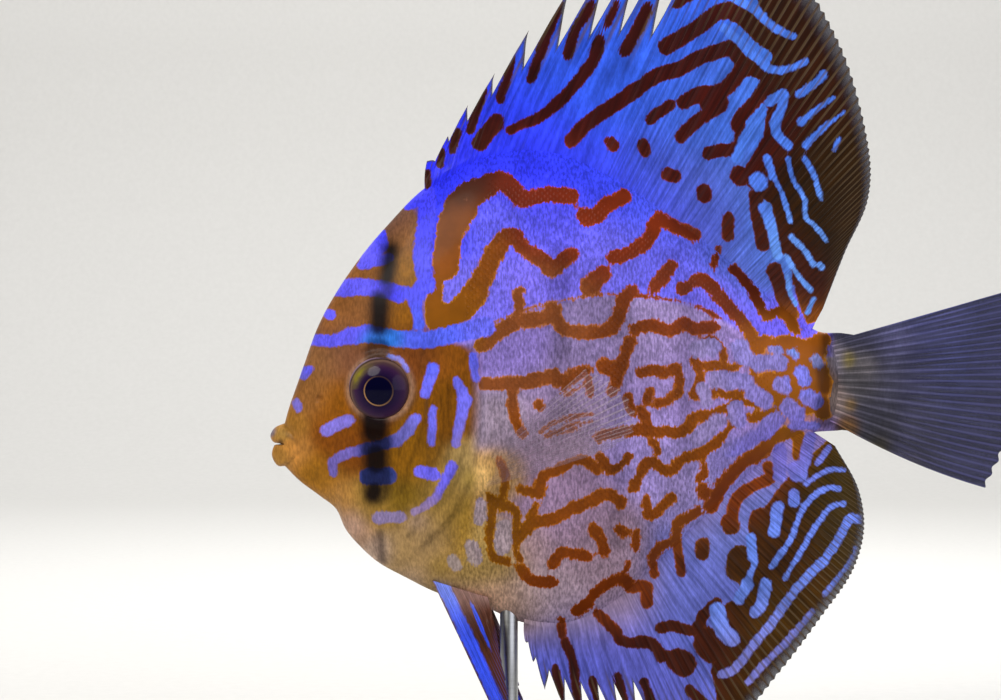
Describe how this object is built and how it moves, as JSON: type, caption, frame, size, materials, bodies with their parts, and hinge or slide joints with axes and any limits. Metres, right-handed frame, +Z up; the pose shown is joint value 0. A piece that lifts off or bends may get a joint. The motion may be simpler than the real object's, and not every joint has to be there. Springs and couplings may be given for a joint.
{
  "type": "discus fish model",
  "caption": "Life-size discus fish with a tall disc of a body, sail-like fins and lined flanks, held level on a short rod over a flat base.",
  "frame": {"origin": "centre of the underside of the stand's base", "axes": "+Z up; the fish swims level towards -X, its left side faces -Y, and y = 0 is the middle plane of its body"},
  "size_m": [0.1544, 0.06, 0.1752],
  "materials": {
    "skin": "satin scaled skin, blue and rust",
    "fin": "satin fin membrane over rays",
    "eye": "wet gloss",
    "stand_base": "satin black paint",
    "stand_rod": "fine brushed"
  },
  "bodies": {
    "root": {"head": "skin", "torso": "skin", "tail_base": "skin", "gill_cover_left": "skin", "gill_cover_right": "skin", "eye_left": "eye", "eye_right": "eye", "dorsal_fin_spines": "fin", "dorsal_fin_soft": "fin", "anal_fin_spines": "fin", "anal_fin_soft": "fin", "tail_fin": "fin", "pectoral_fin_left": "fin", "pectoral_fin_right": "fin", "pelvic_fin_left": "fin", "pelvic_fin_right": "fin", "stand_base": "stand_base", "stand_rod": "stand_rod"}
  },
  "joints": []
}
